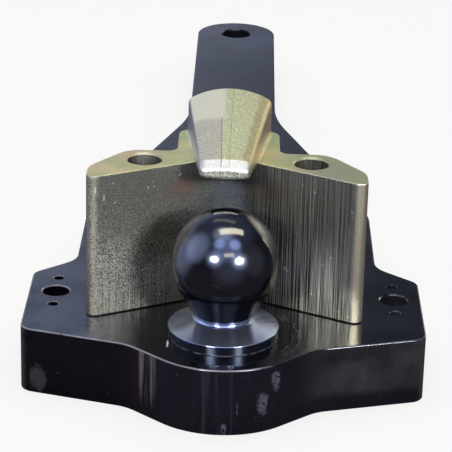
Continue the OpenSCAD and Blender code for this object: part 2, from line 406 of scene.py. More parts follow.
def scored_top(s, base, flat, patchy):
    """Turned scratches around the collar and a chip beside it."""
    radius = s.maths("SQRT", s.maths("ADD", s.maths("POWER", s.x, 2.0), s.maths("POWER", s.y, 2.0)))
    rings = s.most(*(s.line(radius, *ring_mm) for ring_mm in SCORED_RINGS_MM))
    base = s.over(base, MARK_GREY, rings, flat, s.span(s.x, *SCORED_X), s.span(patchy, 0.42, 0.56), 0.6)
    return s.over(base, CHIP_STEEL, flat, s.spot(*CHIP_MM, 0.3, patchy))


def marked_wall(s, base, side, clouds, patchy, upright):
    """Warm grey on the right, shade and a patch on the left, ridges, streaks and scuffs between them,
    and a painted reflection of a red upright line.
    Gives the shares of the scuffs and patch, which are dull, and of the ridges, which stand out."""
    front = s.span(s.y, *FRONT_Y)
    base = s.over(base, RIGHT_GREY, side, s.span(s.x, *RIGHT_GREY_X), s.span(s.z, *RIGHT_GREY_Z),
                  s.span(clouds, 0.2, 0.7))
    base = s.over(base, SHADED_BLACK, side, s.span(s.x, *SHADED_X), 0.55)
    patch = s.spot(*PATCH_MM, 0.25, patchy)
    base = s.over(base, PATCH_GREY, patch, side, 0.70)
    ridges = s.product(side, s.span(s.x, *RIDGE_LEFT_X), s.span(s.x, *RIDGE_RIGHT_X), front)
    base = s.over(base, RIDGE_PINK, ridges, s.span(upright, 0.42, 0.62), s.span(s.z, *RIDGE_Z))
    base = s.over(base, STREAK_VIOLET, side, s.span(s.x, *STREAK_LEFT_X), s.span(s.x, *STREAK_RIGHT_X),
                  front, s.span(upright, 0.50, 0.66))
    # Painted reflection of a red rack: a thin red upright line
    base = s.over(base, RED_REFLECTION, side, s.line(s.x, *RED_REFLECTION_MM), front, 0.7)
    scuffs = s.most(*(s.spot(*place_mm, 0.3, patchy) for place_mm in SCUFFS_MM),
                    s.product(s.spot(*SCRATCH_MM, 0.3), 0.7))
    scuffs = s.product(scuffs, side, s.span(s.noise(420, 3, 0.6), 0.36, 0.52))
    base = s.over(base, SCUFF_LAVENDER, scuffs, 0.8)
    base = s.over(base, RUBBED_GREY, side, s.span(s.maths("ABSOLUTE", s.x), *RUBBED_X),
                  s.span(s.y, *RUBBED_Y), s.span(patchy, 0.3, 0.6), 0.8)
    base = s.over(base, PIT_GREY, side, s.span(s.noise(330, 3, 0.55), 0.69, 0.73), 0.6)
    return base, s.most(scuffs, patch), ridges


def worn_and_lit_edge(s, patchy):
    """Share of the line along the top edge, worn paint with a painted highlight on its rounding: unbroken to
    the nick right of the nose, thinner beyond.
    """
    on_edge = s.product(s.span(s.up, 0.06, 0.35), s.span(s.up, 0.995, 0.93), s.span(s.z, *EDGE_LINE_Z))
    beyond = s.span(s.x, *NICK_X)
    wear_and_highlight = s.maths("ADD", s.product(s.span(patchy, 0.24, 0.40), s.inverse(beyond)),
                   s.product(s.span(s.noise(45, 4, 0.6), 0.46, 0.60), beyond, 0.40))
    return s.product(wear_and_highlight, on_edge, s.span(s.y, *EDGE_LINE_Y))


def paint_material(name, black, specular, roughness):
    """Black paint with cloudy gloss and the marks of its use."""
    s = Shader(name)
    clouds = s.noise(20, 5, 0.6)
    patchy = s.noise(130, 4, 0.65)
    upright = s.lines((260, 260, 9), 4, 0.6)
    flat = s.span(s.up, *FLAT_UP)
    # Slate-blue clouds on the top: dirt and a painted sheen
    base, dust_and_sheen = dust_and_sheen_top(s, s.mix(clouds, *black), flat, clouds)
    base = scored_top(s, base, flat, patchy)
    base, dull, ridges = marked_wall(s, base, s.span(s.up, *WALL_UP), clouds, patchy, upright)
    # Worn paint and painted highlight along the top edge
    base = s.over(base, s.mix(s.noise(60, 3, 0.6), *WORN_STEEL_AND_HIGHLIGHT), worn_and_lit_edge(s, patchy))
    rough = s.span(clouds, 0.3, 0.7, *roughness)
    s.finish(base, s.maths("ADD", rough, s.product(s.most(dull, dust_and_sheen), DULLED)))
    s.put(s.bsdf.inputs["Specular IOR Level"], specular)
    grain = s.product(s.noise(900, 3, 0.6), 0.5)
    s.bump(s.maths("ADD", grain, s.product(ridges, upright, 4.0)), 0.05 * MM, 0.6)
    return s.material


# Gloss of the ball and its neck, near black, and of the collar's brighter cone and rim

GLOSS_BLACK = ((0.0015, 0.0015, 0.0028), (0.0030, 0.0030, 0.0050))
# The cone's bluish steel, partly matt, is a painted reflection of the blue-grey room in its middle
CONE_STEEL_SHEEN = ((0.42, 0.46, 0.62), (0.48, 0.52, 0.68))
# The rim's black is paler than the ball's: a painted sheen that makes up for its dimmer reflection
RIM_BLACK = ((0.010, 0.011, 0.020), (0.018, 0.020, 0.034))
BLUISH = (0.62, 0.70, 1.0)
SPECKS_MM = ((-5, -39, -3), (5, 6, 4))
FOOT_LINE = (0.55, 0.54, 0.62)
FOOT_LINE_Z = (PLATE_TOP + 0.0009, PLATE_TOP + 0.0004)


def polished_material(name, colours, ior, roughness, metallic=0.0, relief=0.5, tint=WHITE):
    """Almost a mirror, with faint turning marks, a few specks on the ball and a thin worn line at the
    collar's foot."""
    s = Shader(name)
    smears = s.noise(55, 4, 0.6)
    base = s.mix(smears, *colours)
    base = s.over(base, MARK_GREY, s.spot(*SPECKS_MM, 0.5), s.specks(900, 0.63, 0.70), 0.7)
    base = s.over(base, FOOT_LINE, s.span(s.z, *FOOT_LINE_Z), s.span(s.noise(160, 4, 0.65), 0.40, 0.55))
    s.finish(base, s.span(smears, 0.3, 0.7, *roughness))
    s.put(s.bsdf.inputs["IOR"], ior)
    s.put(s.bsdf.inputs["Metallic"], metallic)
    s.put(s.bsdf.inputs["Specular Tint"], (*tint, 1))
    turned_marks = s.lines((6, 6, 2400), 3, 0.6)
    s.bump(s.maths("ADD", smears, s.product(turned_marks, 0.02)), 0.12 * MM, relief)
    return s.material


# Yellow passivated steel of the guide block: its tops, the faces of the V, and the beak

TOP_GOLD = ((0.58, 0.64, 0.29), (0.88, 0.73, 0.37))
TOP_PINK = (0.72, 0.55, 0.40)
TOP_GREEN = (0.44, 0.60, 0.34)
TOP_OLIVE = (0.34, 0.39, 0.24)
TOP_OLIVE_X = (0.030, 0.080)
TOP_PORE = (0.42, 0.39, 0.22)
TOP_METALLIC = 0.45

# The V faces are darker than the tops and darker towards their upper part: a painted reflection of the dark
# room in front. Their grains and milled lines are their own.
VEE_DARK = (0.036, 0.031, 0.018)
VEE_LEFT = ((0.30, 0.285, 0.235), (0.66, 0.61, 0.50))
VEE_RIGHT = ((0.50, 0.47, 0.38), (0.74, 0.68, 0.55))
LEFT_SHEEN_Z = (0.040, -0.045)
RIGHT_SHEEN_Z = (0.000, -0.045)
VEE_SOFT_Z = (0.050, -0.010)
VEE_LOWER_Z = (-0.005, -0.050)
MILLED_X = (0.002, 0.026)
MILLED_LEAN_Z = (0.03, -0.055)
MILLED_LEAN = 0.012
VEE_CLOUD = (0.12, 0.12, 0.09)
VALLEY_BLUE = (0.050, 0.060, 0.076)
VALLEY_MM = ((0, 72, 22), (22, 30, 26))
BROWN = (0.18, 0.085, 0.07)
BROWNS_MM = (((-34, 57, 37), (15, 20, 9)), ((31, 58, 35), (13, 20, 9)))
# Painted shade: a dark olive blotch on the left V face beside the ball, for its shadow and its dark
# reflection
BALL_SHADE_OLIVE = (0.035, 0.038, 0.014)
BALL_SHADE_MM = ((-50, 48, -6), (17, 20, 20))
# Ends of the V faces: paler at the right tip and darker at the left, painted light and shade on the rounded
# tips
LEFT_BEIGE = ((0.17, 0.15, 0.10), (0.52, 0.46, 0.34))
RIGHT_BEIGE = ((0.80, 0.66, 0.42), (0.99, 0.88, 0.64))
BEIGE_BAND_X = (0.0935, 0.0975)
MIDDLE_X = (-0.01, 0.01)
DENT_STEEL = (0.75, 0.75, 0.70)
DENTS_MM = (((-97, 24, 44), (0.5, 6, 3.0)), ((-91, 27, 37), (0.5, 6, 2.5)))
FOOT_SHADOW = (0.012, 0.011, 0.008)
FOOT_SHADOW_Z = (PLATE_TOP + 0.0014, PLATE_TOP + 0.0008)

# The beak's cream at the back on the left is painted light where the crown faces the lamps, and its golden
# strip on the right is painted shade where the crown turns away
BEAK_CREAM = ((0.90, 0.87, 0.68), (0.98, 0.95, 0.78))
BEAK_GREY = ((0.50, 0.475, 0.38), (0.88, 0.85, 0.70))
BEAK_GREEN = ((0.55, 0.56, 0.31), (0.96, 0.98, 0.64))
BEAK_GOLD = ((0.36, 0.30, 0.12), (0.72, 0.63, 0.34))
BEAK_FLANKS = ((0.64, 0.62, 0.55), (0.56, 0.49, 0.35))
BEAK_NOSE = ((0.22, 0.21, 0.15), (0.85, 0.81, 0.62))
# The bevel's pale tone is a painted highlight on the face that looks up to the lamps
BEAK_BEVEL = ((0.60, 0.59, 0.50), (0.82, 0.79, 0.72))
SEAM_DARK = (0.10, 0.10, 0.06)
ON_BEAK_Z = (BLOCK_TOP + 0.0005, BLOCK_TOP + 0.0015)
CREAM_Y = (0.0900, 0.0985)
CREAM_X = (-0.0010, -0.0045)
SMOOTH_X = (-0.0020, -0.0030)
GREY_X = (-0.0040, -0.0052)
GOLD_X = (0.0085, 0.0120)
GOLD_START_Y = 0.030
GOLD_SPREAD = 0.135
FLANK_X = (-0.005, 0.005)
SEAM_FRONT_Y = (0.0915, 0.0890)
SEAM_BACK_Y = (0.098, 0.100)


def top_colour(s, clouds, sand):
    """Cream and green-gold with pink clouds, olive on the right wing."""
    tints = s.noise(17, 3, 0.5, s.stretched((1, 1, 1), (3.1, 1.7, 0.4)))
    gold = s.mix(s.span(clouds, 0.36, 0.62), *TOP_GOLD)
    gold = s.over(gold, TOP_PINK, s.span(tints, 0.52, 0.66), 0.6)
    gold = s.over(gold, TOP_GREEN, s.span(tints, 0.46, 0.34), 0.6)
    gold = s.over(gold, TOP_OLIVE, s.span(s.x, *TOP_OLIVE_X), 0.75)
    return s.over(gold, TOP_PORE, s.inverse(sand), 0.35)


def vee_colour(s, clouds, coarse, sand):
    """Grey with dark and bright grains on the left, with upright lines on the right, paler towards the foot
    and darker above as a painted reflection of the dark room in front. Gives the pattern of the grains and
    lines too."""
    fine_lines = s.lines((2000, 2000, 14), 0, 0.5)
    broad_lines = s.lines((230, 230, 7), 3, 0.6)
    milled = s.span(s.maths("ADD", s.product(fine_lines, 0.92), s.product(broad_lines, 0.08)), 0.31, 0.77)
    lean = s.product(s.span(s.z, *MILLED_LEAN_Z), MILLED_LEAN)
    right = s.span(s.maths("SUBTRACT", s.x, lean), *MILLED_X)
    pattern = s.mix(s.most(right, s.product(s.span(s.z, *VEE_LOWER_Z), 0.45)), sand, milled)
    softened = s.maths("MULTIPLY_ADD", pattern, s.span(s.z, *VEE_SOFT_Z, 0.5, 1.0),
                       s.span(s.z, *VEE_SOFT_Z, 0.22, 0.0))
    # Painted reflection: the V faces paler towards the foot and darker towards the top
    pale = s.mix(right, s.mix(s.span(s.z, *LEFT_SHEEN_Z), *VEE_LEFT),
                 s.mix(s.span(s.z, *RIGHT_SHEEN_Z), *VEE_RIGHT))
    steel = s.mix(softened, VEE_DARK, pale)
    steel = s.over(steel, VEE_CLOUD, s.span(clouds, 0.45, 0.65), 0.30)
    steel = s.over(steel, VALLEY_BLUE, s.spot(*VALLEY_MM, 0.6, clouds), 0.7)
    steel = s.over(steel, BROWN, s.most(*(s.spot(*place_mm, 0.6, clouds) for place_mm in BROWNS_MM)), 0.45)
    # Painted shade and reflection of the ball beside it
    steel = s.over(steel, BALL_SHADE_OLIVE, s.spot(*BALL_SHADE_MM, 0.6, clouds), 0.6)
    # Painted light and shade on the block's ends
    beige = s.mix(s.span(s.x, *MIDDLE_X), s.mix(sand, *LEFT_BEIGE), s.mix(sand, *RIGHT_BEIGE))
    steel = s.over(steel, beige, s.span(s.maths("ABSOLUTE", s.x), *BEIGE_BAND_X), 0.85)
    dents = s.most(*(s.spot(*place_mm, 0.4, coarse) for place_mm in DENTS_MM),
                   s.product(s.specks(210, 0.71, 0.74), 0.8))
    steel = s.over(steel, DENT_STEEL, dents, 0.8)
    return s.over(steel, FOOT_SHADOW, s.span(s.z, *FOOT_SHADOW_Z)), pattern


def beak_seams(s, coarse):
    """Share of three fine seams that run along the beak and drift sideways."""
    def seam(drift, place_mm, width_mm):
        return s.line(s.maths("MULTIPLY_ADD", s.y, drift, s.x), place_mm, width_mm)

    seams = s.most(s.product(seam(0.0138, -4.50, 0.34), s.span(s.y, *SEAM_FRONT_Y)),
                   s.product(seam(-0.0133, 0.61, 0.30), 0.55),
                   s.product(seam(0.0141, -1.11, 0.26), s.span(s.y, *SEAM_BACK_Y), 0.45))
    return s.product(seams, s.span(s.up, 0.1, 0.5), s.span(coarse, 0.25, 0.45))


def beak_colour(s, sand, behind, seams):
    """Creamy behind on the left, a painted light where the crown faces the lamps, greyer in front of it,
    greenish and sandy on the right, with a golden strip of painted shade along the right edge and a pale
    bevel that is a painted highlight.
    """
    beak = s.mix(s.span(s.x, *GREY_X), s.mix(sand, *BEAK_GREEN), s.mix(sand, *BEAK_GREY))
    # Painted light: cream where the crown faces the lamps
    beak = s.over(beak, s.mix(s.product(sand, 0.30), *BEAK_CREAM), behind, s.span(s.x, *CREAM_X))
    widening = s.product(s.maths("SUBTRACT", s.y, GOLD_START_Y), GOLD_SPREAD)
    golden = s.span(s.maths("SUBTRACT", s.x, widening), *GOLD_X)
    # Painted shade: golden strip where the crown turns away on the right
    beak = s.over(beak, s.mix(sand, *BEAK_GOLD), golden, 0.75)
    beak = s.over(beak, s.mix(s.span(s.x, *FLANK_X), *BEAK_FLANKS), s.span(s.up, 0.55, 0.25))
    beak = s.over(beak, s.mix(sand, *BEAK_NOSE), s.span(s.to_back, -0.85, -0.97), s.span(s.up, 0.4, 0.2))
    # Painted highlight on the bevel
    beak = s.over(beak, s.mix(sand, *BEAK_BEVEL), s.span(s.to_back, -0.45, -0.60),
                  s.span(s.up, 0.45, 0.60))
    return s.over(beak, SEAM_DARK, seams, 0.85)


def zinc_material():
    """Yellow passivated steel: sandy where it was forged, with upright lines where it was milled."""
    s = Shader("yellow_zinc")
    clouds = s.noise(26, 4, 0.55)
    coarse = s.noise(330, 4, 0.7)
    grain = s.noise(1150, 2, 0.6)
    sand = s.span(s.maths("ADD", s.product(grain, 0.8), s.product(coarse, 0.2)), 0.42, 0.60)
    upper = s.span(s.up, 0.45, 0.75)
    on_beak = s.span(s.z, *ON_BEAK_Z)
    behind = s.span(s.maths("ADD", s.y, s.product(clouds, 0.008)), *CREAM_Y)
    seams = beak_seams(s, coarse)
    steel, pattern = vee_colour(s, clouds, coarse, sand)
    # Upright faces take the V's darker tones, partly a painted reflection of the dark room
    colour = s.mix(upper, steel, top_colour(s, clouds, sand))
    colour = s.mix(on_beak, colour, beak_colour(s, sand, behind, seams))
    s.finish(colour, s.span(sand, 0.0, 1.0, 0.42, 0.32))
    s.put(s.bsdf.inputs["Metallic"], s.span(upper, 0.0, 1.0, 1.0, TOP_METALLIC))
    relief = s.mix(s.inverse(s.most(on_beak, upper)), s.product(sand, 0.45), pattern)
    smooth_part = s.product(on_beak, behind, s.span(s.x, *SMOOTH_X))
    relief = s.product(relief, s.span(smooth_part, 0.0, 1.0, 1.0, 0.15))
    s.bump(s.maths("SUBTRACT", relief, s.product(seams, on_beak, 1.5)), 0.16 * MM, 1.0)
    return s.material


# Zinc-plated steel of the nut and washer

PLATED_STEEL = ((0.36, 0.37, 0.39), (0.50, 0.51, 0.53))


def steel_material():
    s = Shader("bare_steel")
    grain = s.noise(400, 4, 0.6)
    s.finish(s.mix(grain, *PLATED_STEEL), s.span(grain, 0.3, 0.7, 0.30, 0.45))
    s.put(s.bsdf.inputs["Metallic"], 1.0)
    s.bump(grain, 0.1 * MM, 0.4)
    return s.material


PAINT_TOP = paint_material("black_paint_top", TOP_BLACK, specular=0.7, roughness=(0.12, 0.26))
PAINT_WALL = paint_material("black_paint_wall", WALL_BLACK, specular=0.06, roughness=(0.30, 0.42))
BALL_GLOSS = polished_material("polished_black", GLOSS_BLACK, ior=2.2, roughness=(0.09, 0.14))
# Painted reflection: the cone's bluish colour with a matt share
CONE_GLOSS = polished_material("bright_cone", CONE_STEEL_SHEEN, ior=2.2, roughness=(0.14, 0.18),
                               metallic=0.86, relief=0.12)
# Painted shade: the ball's gloss with a low IOR, for the neck and the ball's lowest rings
SHADED_NECK_GLOSS = polished_material("dark_neck", GLOSS_BLACK, ior=1.15, roughness=(0.16, 0.22))
# Painted sheen: the rim's paler black
RIM_GLOSS = polished_material("polished_rim", RIM_BLACK, ior=1.4, roughness=(0.14, 0.20), tint=BLUISH)
YELLOW_ZINC = zinc_material()
BARE_STEEL = steel_material()


# Drawbar plate: the outline of its right half from the nose back to the tongue

WING_X = PLATE_HIGH.x
BODY_X = 0.120
TONGUE_X = 0.041
NOSE_R = 0.065
NOSE_ANGLE = math.radians(42)
WING_FRONT_Y = -0.0444
WING_SWEEP = math.radians(16.4)
WING_BACK_Y = 0.1068
WING_BACK_ANGLE = math.radians(42)
TAPER_START_Y = 0.251
TAPER_END_Y = 0.502
NOSE_BLEND_R = 0.035
WING_CORNER_R = 0.012
WAIST_R = 0.025
TAPER_START_R = 0.080
TAPER_END_R = 0.200
PLATE_EDGE_R = 1.3 * MM
SHANK_R = 0.02005
RECESS_R = 0.035
DOWEL_DEPTH = 0.030
DOWEL_TIP = 0.0024
WALL_NORMAL_Z = 0.2


def plate_outline():
    nose_tip_y = -NOSE_R / math.cos(NOSE_ANGLE)
    blend_x = (WING_FRONT_Y - nose_tip_y) / (math.tan(NOSE_ANGLE) - math.tan(WING_SWEEP))
    right = [
        (blend_x, WING_FRONT_Y + blend_x * math.tan(WING_SWEEP), NOSE_BLEND_R),
        (WING_X, WING_FRONT_Y + WING_X * math.tan(WING_SWEEP), WING_CORNER_R),
        (WING_X, WING_BACK_Y, WING_CORNER_R),
        (BODY_X, WING_BACK_Y + (WING_X - BODY_X) * math.tan(WING_BACK_ANGLE), WAIST_R),
        (BODY_X, TAPER_START_Y, TAPER_START_R),
        (TONGUE_X, TAPER_END_Y, TAPER_END_R),
        (TONGUE_X, PLATE_HIGH.y, TONGUE_X),
    ]
    return rounded_outline([(0, nose_tip_y, NOSE_R)] + right + mirrored(right))


def paired_x(mount, side):
    """Place of a hole across the part, on the left for side -1 and on the right for side 1."""
    return side * mount["dims"]["spacing_x_mm"] * MM / 2


def dowel_hole(x, y, radius):
    """Blind hole with a cone at its end."""
    floor = PLATE_TOP - DOWEL_DEPTH
    return (x, y, [(radius + MM / 2, PLATE_TOP), (radius, PLATE_TOP - MM / 2),
                   (radius, floor + DOWEL_TIP), (0, floor)])


def bolt_hole(name, side, top, bottom, chamfer):
    mount = MOUNTS[name]
    return through(paired_x(mount, side), mount["pos_m"][1], mount["dims"]["hole_r_mm"] * MM,
                   top, bottom, chamfer)


def plate_holes():
    pin = MOUNTS["drawbar_pin_hole"]
    dowels = MOUNTS["wing_dowel_holes"]
    web_bottom = WASHER_HIGH.z
    holes = [through(0, pin["pos_m"][1], pin["dims"]["r_mm"] * MM, PLATE_TOP, PLATE_BOTTOM, MM)]
    holes.append((0, 0, [(SHANK_R, PLATE_TOP), (SHANK_R, web_bottom),
                         (RECESS_R, web_bottom), (RECESS_R, PLATE_BOTTOM)]))
    for side in (-1, 1):
        for name in ("wing_bolt_holes", "block_bolt_bores"):
            holes.append(bolt_hole(name, side, PLATE_TOP, PLATE_BOTTOM, MM))
        for end in (-1, 1):
            y = dowels["pos_m"][1] + end * dowels["dims"]["spacing_y_mm"] * MM / 2
            holes.append(dowel_hole(paired_x(dowels, side), y, dowels["dims"]["hole_r_mm"] * MM))
    return holes


def build_plate():
    """The plate, whose tops and walls carry their own paint."""
    bm = prism(plate_outline(), edge_levels(PLATE_TOP, PLATE_BOTTOM, PLATE_EDGE_R, MM), plate_holes())
    for face in bm.faces:
        face.material_index = 1 if abs(face.normal.z) < WALL_NORMAL_Z else 0
    new_piece("drawbar_plate_painted", bm, [PAINT_TOP, PAINT_WALL], "black_paint", "drawbar_plate")


build_plate()


# Coupling ball: the profile of ball, neck, collar and shank, turned about the vertical axis

NECK_R = 0.0215
NECK_FILLET = 0.0025
COLLAR_R = 0.04125
RIM_TOP = PLATE_TOP + 0.0074
CONE_TOP = RIM_TOP + 0.0083
EDGE_BREAK = 0.4 * MM
# Below this level the ball's lowest rings and the neck take a dim copy of the gloss: painted shade
NECK_TOP = -0.0165
TURN_STEPS = 192
FILLET_STEP_DEG = 8
EDGE_STEP_DEG = 12
THREAD_R = 0.015
THREAD_PITCH = 2.0 * MM
THREAD_DEPTH = 1.1 * MM
THREAD_GAP = 0.05 * MM


def arc(centre, radius, start_deg, end_deg, steps):
    """Points of an arc, by angles that turn from the first axis to the second."""
    angles = [math.radians(start_deg + (end_deg - start_deg) * k / steps) for k in range(steps + 1)]
    return [(centre[0] + radius * math.cos(a), centre[1] + radius * math.sin(a)) for a in angles]


def turned(profile, steps=TURN_STEPS):
    """Surface of revolution of (radius, height) points from the top down; radius 0 closes it."""
    bm = bmesh.new()
    last = None
    for radius, z in profile:
        if radius < MERGE_DISTANCE:
            current = bm.verts.new((0, 0, z))
        else:
            current = ring(bm, circle(0, 0, radius, steps), z)
        if isinstance(last, list) and isinstance(current, list):
            bridge(bm, last, current)
        elif last is not None:
            tip, rim = (last, current) if isinstance(current, list) else (current, last)
            for i in range(steps):
                bm.faces.new((rim[i - 1], rim[i], tip))
        last = current
    bmesh.ops.recalc_face_normals(bm, faces=bm.faces)
    return bm


def ball_profile():
    """The ball, the neck's cone that touches it, the collar's cone, its rim, and the threaded shank."""
    foot = Vector((NECK_R, CONE_TOP))
    touch_angle = math.acos(BALL_R / foot.length) + math.atan2(foot.y, foot.x)
    points = arc((0, 0), BALL_R, 90, math.degrees(touch_angle), CIRCLE_STEPS)
    points += corner_arc(points[-1], foot, (COLLAR_R, RIM_TOP), NECK_FILLET, FILLET_STEP_DEG)[0]
    points += corner_arc(foot, (COLLAR_R, RIM_TOP), (COLLAR_R, PLATE_TOP), EDGE_BREAK, EDGE_STEP_DEG)[0]
    points += [(COLLAR_R, PLATE_TOP + EDGE_BREAK), (COLLAR_R - EDGE_BREAK, PLATE_TOP)]
    points += [(SHANK_R, PLATE_TOP), (SHANK_R, WASHER_HIGH.z + MM), (THREAD_R, WASHER_HIGH.z + MM)]
    z = NUT_LOW.z + THREAD_PITCH
    while z > BALL_LOW.z + THREAD_PITCH:
        points += [(THREAD_R, z), (THREAD_R - THREAD_DEPTH, z - THREAD_PITCH / 2)]
        z -= THREAD_PITCH
    points += [(THREAD_R, BALL_LOW.z + MM), (THREAD_R - MM, BALL_LOW.z), (0, BALL_LOW.z)]
    return points


def build_ball():
    """The ball, whose collar, neck and rim each mirror the room in their own way. The cone's bluish colour
    is a painted reflection, the rim's paler black a painted sheen, and the neck's dim copy of the gloss,
    which also covers the ball's lowest rings, painted shade.
    """
    bm = turned(ball_profile())
    glosses = [BALL_GLOSS, CONE_GLOSS, SHADED_NECK_GLOSS, RIM_GLOSS]
    for face in bm.faces:
        level = face.calc_center_median().z
        gloss = BALL_GLOSS
        # Painted reflection on the cone
        if RIM_TOP - EDGE_BREAK < level < CONE_TOP + NECK_FILLET:
            gloss = CONE_GLOSS
        # Painted shade on the neck and the ball's lowest rings
        elif CONE_TOP < level < NECK_TOP:
            gloss = SHADED_NECK_GLOSS
        # Painted sheen on the rim
        elif level <= RIM_TOP - EDGE_BREAK:
            gloss = RIM_GLOSS
        face.material_index = glosses.index(gloss)
    new_piece("coupling_ball_polished", bm, glosses, "black_gloss", "coupling_ball")


build_ball()


# Guide block: the upright body with its V and its two bores

TIP_X = BLOCK_HIGH.x
VALLEY_Y = 0.075
VEE_ANGLE = math.radians(28)
NECK_BACK_Y = BLOCK_HIGH.y
NECK_X = 0.0393
SHOULDER_Y = 0.0465
BLOCK_BACK_X = 0.0768
BLOCK_BACK_Y = 0.0855
VALLEY_R = 0.034
TIP_R = 0.006
SHOULDER_R = 0.025
BLOCK_BACK_R = 0.022
NECK_FOOT_R = 0.008
NECK_CORNER_R = 0.012
BLOCK_EDGE_R = 1.0 * MM
BORE_CHAMFER = 1.5 * MM


def block_outline():
    right = [
        (TIP_X, VALLEY_Y - TIP_X * math.tan(VEE_ANGLE), TIP_R),
        (TIP_X, SHOULDER_Y, SHOULDER_R),
        (BLOCK_BACK_X, BLOCK_BACK_Y, BLOCK_BACK_R),
        (NECK_X, BLOCK_BACK_Y, NECK_FOOT_R),
        (NECK_X, NECK_BACK_Y, NECK_CORNER_R),
    ]
    return rounded_outline([(0, VALLEY_Y, VALLEY_R)] + right + mirrored(right))


def block_body():
    holes = [bolt_hole("block_bolt_bores", side, BLOCK_TOP, PLATE_TOP, BORE_CHAMFER) for side in (-1, 1)]
    return prism(block_outline(), edge_levels(BLOCK_TOP, PLATE_TOP, BLOCK_EDGE_R, BLOCK_EDGE_R / 2), holes)


# Beak: sections across it, from the nose back to the neck

BEAK_FRONT_Y = 0.028
BEAK_NOSE_X = 0.019
BEAK_BACK_X = 0.0324
BEAK_SKEW = -0.0018
BEAK_BASE = BLOCK_TOP - 0.003
FACE_TOP = BEAK_BASE + 0.0095
BEVEL = 0.0063
BEVEL_DEG = 45
BEAK_TOP = BLOCK_HIGH.z
NOSE_EDGE_R = 0.0045
BACK_EDGE_R = 0.006
NOSE_CROWN = 0.120
BACK_CROWN = 0.060
CHIN_R = 0.0025
FOOT_R = 0.004
FOOT_START_Y = 0.060
FOOT_FULL_Y = 0.072
FREE_END_Y = 0.040
SEATED_Y = 0.062
SEATED_EDGE_R = 0.3 * MM
SINK = 0.05 * MM
FOOT_RISE = 0.01 * MM
BACK_GAP = 0.03 * MM
NOSE_Y = BEAK_FRONT_Y + NOSE_EDGE_R
BACK_Y = NECK_BACK_Y - BACK_GAP - BACK_EDGE_R


def between(first, last, steps):
    """Points that part the way from first to last, without its ends."""
    return [tuple(a + (b - a) * k / steps for a, b in zip(first, last)) for k in range(1, steps)]


def beak_stations():
    """(y, top) along the beak's spine, from the foot of the nose face over the bevel to the back."""
    lift = NOSE_EDGE_R * math.tan(math.radians(BEVEL_DEG / 2))
    low = (NOSE_Y, FACE_TOP - lift)
    high = (NOSE_Y + BEVEL - lift, FACE_TOP + BEVEL - NOSE_EDGE_R)
    rear = (BACK_Y, BEAK_TOP - BACK_EDGE_R)
    run, rise = rear[0] - high[0], rear[1] - high[1]
    widening = math.asin((BACK_EDGE_R - NOSE_EDGE_R) / math.hypot(run, rise))
    slope = math.degrees(math.atan2(rise, run) + widening)
    nose = arc(low, NOSE_EDGE_R, 180, 180 - BEVEL_DEG, 8)
    bevel_end = arc(high, NOSE_EDGE_R, 180 - BEVEL_DEG, 90 + slope, 8)
    back = arc(rear, BACK_EDGE_R, 90 + slope, 0, 16)
    return nose + between(nose[-1], bevel_end[0], 5) + bevel_end + between(bevel_end[-1], back[0], 48) + back


def beak_share(y):
    """0 at the nose, 1 at the back."""
    return min(1.0, max(0.0, (y - NOSE_Y) / (BACK_Y - NOSE_Y)))


def smooth_step(value, low, high):
    """0 at low and 1 at high, held beyond them."""
    t = min(1.0, max(0.0, (value - low) / (high - low)))
    return t * t * (3 - 2 * t)


def beak_section(y, top):
    """Right half of the section at y, from the middle of the underside round to the middle of the top."""
    share = beak_share(y)
    edge_r = NOSE_EDGE_R + (BACK_EDGE_R - NOSE_EDGE_R) * share
    crown = NOSE_CROWN + (BACK_CROWN - NOSE_CROWN) * share
    half = BEAK_NOSE_X + (BEAK_BACK_X - BEAK_NOSE_X) * share
    overrun = max(NOSE_Y - y, y - BACK_Y, 0.0)
    if overrun > 0:
        half -= edge_r
        edge_r = math.sqrt(max(edge_r ** 2 - overrun ** 2, 0.0))
        half += edge_r

    chin = max(0.0, CHIN_R - (y - BEAK_FRONT_Y))
    under = BEAK_BASE + CHIN_R - math.sqrt(CHIN_R ** 2 - chin ** 2)
    free = 1 - smooth_step(y, FREE_END_Y, SEATED_Y)
    lower_r = SEATED_EDGE_R + (CHIN_R - SEATED_EDGE_R) * free
    lower_x = half - lower_r
    foot = FOOT_R * smooth_step(y, FOOT_START_Y, FOOT_FULL_Y)
    foot *= smooth_step(y, BACK_Y + FOOT_R, BACK_Y - FOOT_R)

    def belly(x):
        return under + free * x * x / (2 * NOSE_CROWN)

    points = [(lower_x * k / 6, belly(lower_x * k / 6)) for k in range(6)]
    points += [(x + foot, z) for x, z in arc((lower_x, belly(lower_x) + lower_r), lower_r, 270, 360, 5)]
    foot_z = max(BLOCK_TOP - SINK, points[-1][1] + FOOT_RISE)
    points += arc((half + foot, foot_z + foot), foot, 270, 180, 6)
    spine = crown - edge_r
    corner = (half - edge_r, top - crown + math.sqrt(spine ** 2 - (half - edge_r) ** 2))
    lean = math.degrees(math.acos((half - edge_r) / spine))
    points += between(points[-1], (half, corner[1]), 8)
    points += arc(corner, edge_r, 0, lean, 8)
    points += arc((0, top - crown), crown, lean, 90, 10)[1:]
    return points


def build_beak():
    """The beak through its sections, leaning to the left at its nose as the specimen's does."""
    bm = bmesh.new()
    rings = []
    for y, top in beak_stations():
        half = beak_section(y, top)
        section = half + [(-x, z) for x, z in reversed(half[1:-1])]
        lean = BEAK_SKEW * (1 - beak_share(y))
        rings.append([bm.verts.new((x + lean, y, z)) for x, z in section])
    for first, second in zip(rings, rings[1:]):
        bridge(bm, first, second)
    for end in (rings[0], rings[-1]):
        bm.faces.new(end)
    bmesh.ops.remove_doubles(bm, verts=bm.verts, dist=MERGE_DISTANCE)
    bmesh.ops.recalc_face_normals(bm, faces=bm.faces)
    return bm


